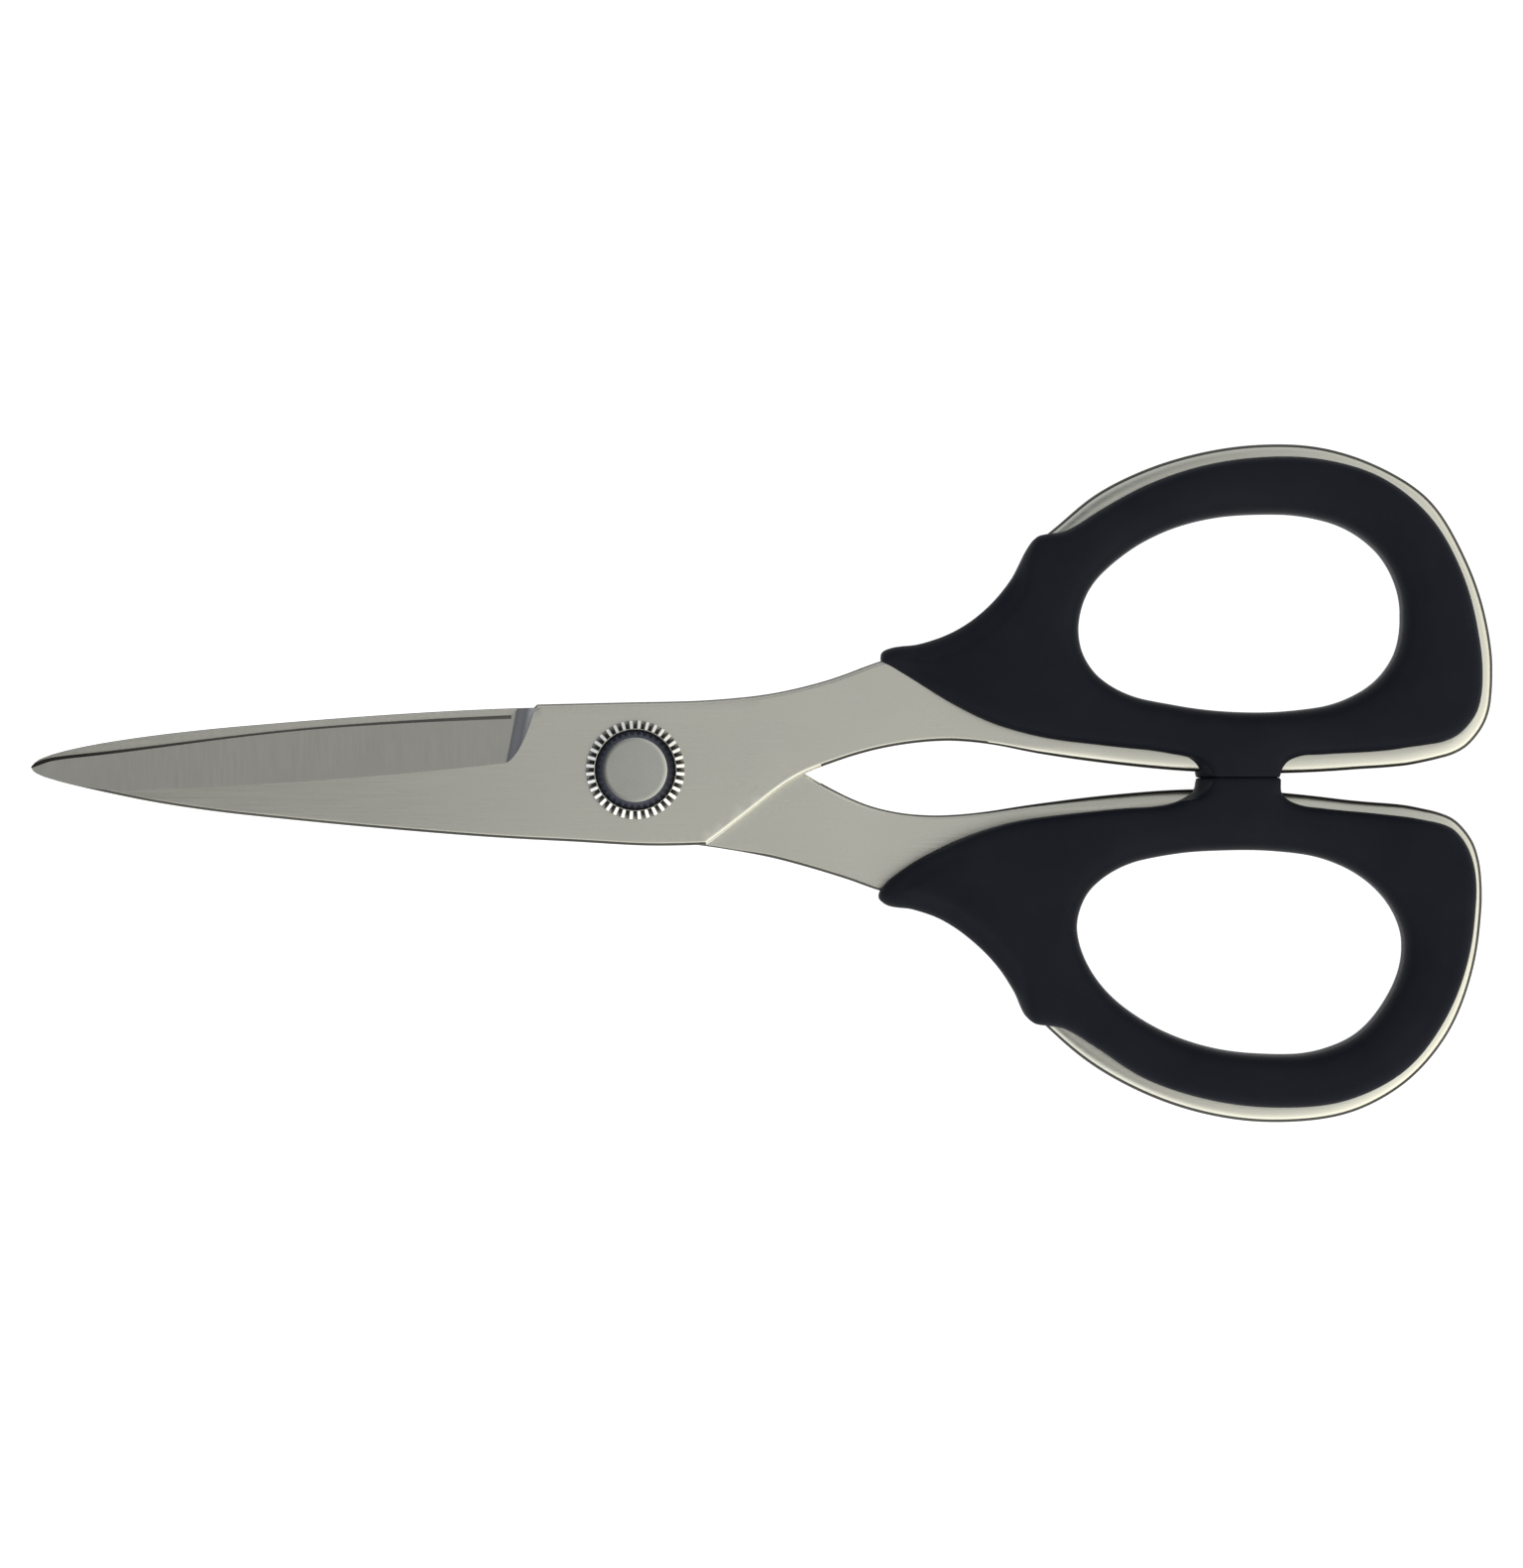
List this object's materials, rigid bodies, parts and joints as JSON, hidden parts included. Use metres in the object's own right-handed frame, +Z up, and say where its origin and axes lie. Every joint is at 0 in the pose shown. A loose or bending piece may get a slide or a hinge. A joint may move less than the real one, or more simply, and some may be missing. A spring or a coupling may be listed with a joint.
{
  "type": "fabric shears",
  "caption": "Fabric shears with two ground steel blades on an adjustable serrated pivot, slim shanks and soft moulded oval finger bows with a steel rim.",
  "frame": {"origin": "under the middle of the closed outline, on the surface that the shears lie on", "axes": "+X from the tips to the finger bows, +Y to the bow of the upper half, +Z up along the pivot; the pivot axis is at x = -0.01295, y = 0.00145"},
  "size_m": [0.1502, 0.0698, 0.009],
  "materials": {
    "blade_steel": "satin ground stainless steel",
    "soft_grip": "matt black moulded elastomer",
    "pivot_steel": "polished stainless steel",
    "washer_nylon": "natural nylon"
  },
  "bodies": {
    "lower_half": {"lower_blade": "blade_steel", "lower_grip": "soft_grip", "slide_washer": "washer_nylon", "back_washer": "washer_nylon"},
    "upper_half": {"upper_blade": "blade_steel", "upper_grip": "soft_grip", "pivot_nut": "pivot_steel", "lock_ring": "pivot_steel", "spring_washer": "pivot_steel"},
    "adjuster": {"pivot_screw": "pivot_steel"}
  },
  "joints": [
    {"name": "blade_pivot", "type": "hinge", "parent": "lower_half", "child": "upper_half", "pos_m": [-0.01295, 0.00145, 0.0045], "axis": [0, 0, 1], "range_deg": [0, 140]},
    {"name": "adjuster_turn", "type": "hinge", "parent": "upper_half", "child": "adjuster", "pos_m": [-0.01295, 0.00145, 0.0045], "axis": [0, 0, 1], "range_deg": [-90, 90]}
  ]
}
